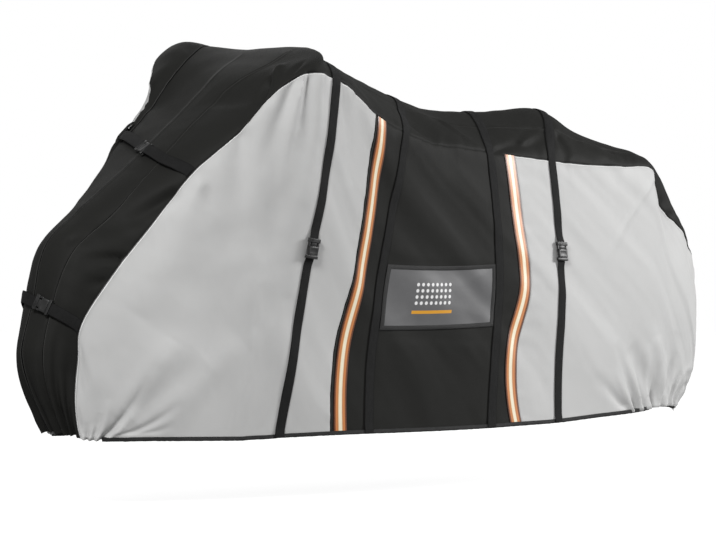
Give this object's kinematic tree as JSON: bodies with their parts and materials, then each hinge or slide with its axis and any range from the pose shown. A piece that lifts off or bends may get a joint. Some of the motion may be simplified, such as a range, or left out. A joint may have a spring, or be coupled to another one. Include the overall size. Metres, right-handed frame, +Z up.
{
  "type": "bicycle cover",
  "caption": "Fitted outdoor bicycle cover in panelled coated cloth, hollow and open at its elastic hem, with strapped nose, buckled webbing bands and a clear pocket.",
  "frame": {"origin": "the point inside the rear crown, in the middle of the cover, that rests on what the cover is fitted over", "axes": "+Z up, -X towards the nose and front crown, +X towards the tail, -Y towards the near side that carries the pocket"},
  "size_m": [1.879, 0.5808, 0.8589],
  "materials": {
    "black_cloth": "charcoal coated plain-weave polyester, soft satin",
    "grey_cloth": "silver-grey coated plain-weave polyester, soft satin",
    "webbing": "flat woven black webbing",
    "reflective_tape": "orange tape with a pale reflective centre band",
    "binding": "black grosgrain binding",
    "film": "smoky clear film over dark cloth",
    "buckle": "moulded black plastic"
  },
  "bodies": {
    "root": {"centre_strip_nose": "black_cloth", "centre_strip_crown": "black_cloth", "centre_strip_back": "black_cloth", "flank_near_nose": "black_cloth", "flank_near_crown": "black_cloth", "flank_near_back": "black_cloth", "flank_far_nose": "black_cloth", "flank_far_crown": "black_cloth", "flank_far_back": "black_cloth", "middle_panel_near": "black_cloth", "middle_panel_far": "black_cloth", "front_panel_near": "grey_cloth", "front_panel_far": "grey_cloth", "rear_panel_near": "grey_cloth", "rear_panel_far": "grey_cloth", "front_tape_near": "reflective_tape", "front_tape_far": "reflective_tape", "rear_tape_near": "reflective_tape", "rear_tape_far": "reflective_tape", "first_strap_lower": "webbing", "first_strap_upper": "webbing", "second_strap": "webbing", "third_strap": "webbing", "fourth_strap_lower": "webbing", "fourth_strap_upper": "webbing", "lower_cross_strap_near": "webbing", "lower_cross_strap_far": "webbing", "upper_cross_strap_near": "webbing", "upper_cross_strap_far": "webbing", "first_buckle_socket": "buckle", "first_buckle_prong": "buckle", "fourth_buckle_socket": "buckle", "fourth_buckle_prong": "buckle", "lower_cross_buckle_socket": "buckle", "lower_cross_buckle_prong": "buckle", "upper_cross_buckle_socket": "buckle", "upper_cross_buckle_prong": "buckle", "hem_binding_near": "binding", "hem_binding_far": "binding", "pocket_border": "binding", "pocket_film": "film"}
  },
  "joints": []
}
